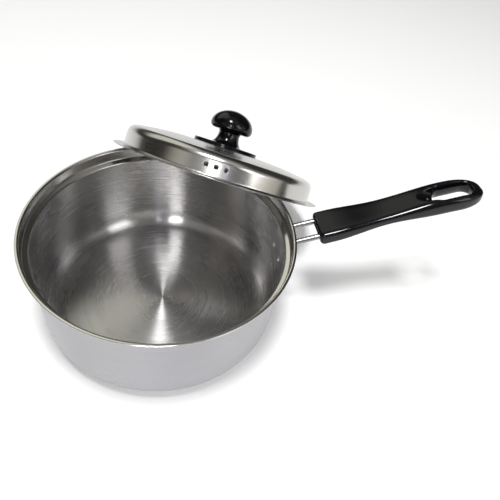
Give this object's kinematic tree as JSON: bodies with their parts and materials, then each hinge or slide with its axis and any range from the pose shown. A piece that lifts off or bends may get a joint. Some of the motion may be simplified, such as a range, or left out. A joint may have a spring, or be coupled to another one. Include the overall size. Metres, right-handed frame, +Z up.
{
  "type": "saucepan",
  "caption": "Deep round pan with a stepped ledge, a turned-out lip and a long two-rod handle, and a domed vented lid with a mushroom knob.",
  "frame": {"origin": "middle of the pan's base, on the plane it stands on", "axes": "+Z up; +X from the pan's axis along the handle; +Y to the left of the handle, where the lid leans"},
  "size_m": [0.3801, 0.3015, 0.1325],
  "materials": {
    "pan_steel": "stainless steel, spun and finely brushed round the axis, with a polished lip and ledge",
    "lid_steel": "stainless steel, polished like a mirror",
    "rod_steel": "stainless steel wire, drawn and bright",
    "zinc": "zinc-plated steel",
    "brass": "turned brass",
    "phenolic": "black moulded phenolic resin, glossy"
  },
  "bodies": {
    "pan": {"pan_body": "pan_steel", "rod_left": "rod_steel", "rod_right": "rod_steel", "rod_bridge": "rod_steel", "handle_grip": "phenolic", "grip_washer": "zinc", "grip_screw": "zinc"},
    "lid": {"lid_shell": "lid_steel", "knob_seat": "phenolic", "knob": "phenolic", "knob_insert": "brass", "knob_washer": "zinc", "knob_screw": "zinc"}
  },
  "joints": [
    {"name": "lid_lift", "type": "slide", "parent": "pan", "child": "lid", "axis": [0, 0, 1], "range_m": [0, 0.15]}
  ]
}
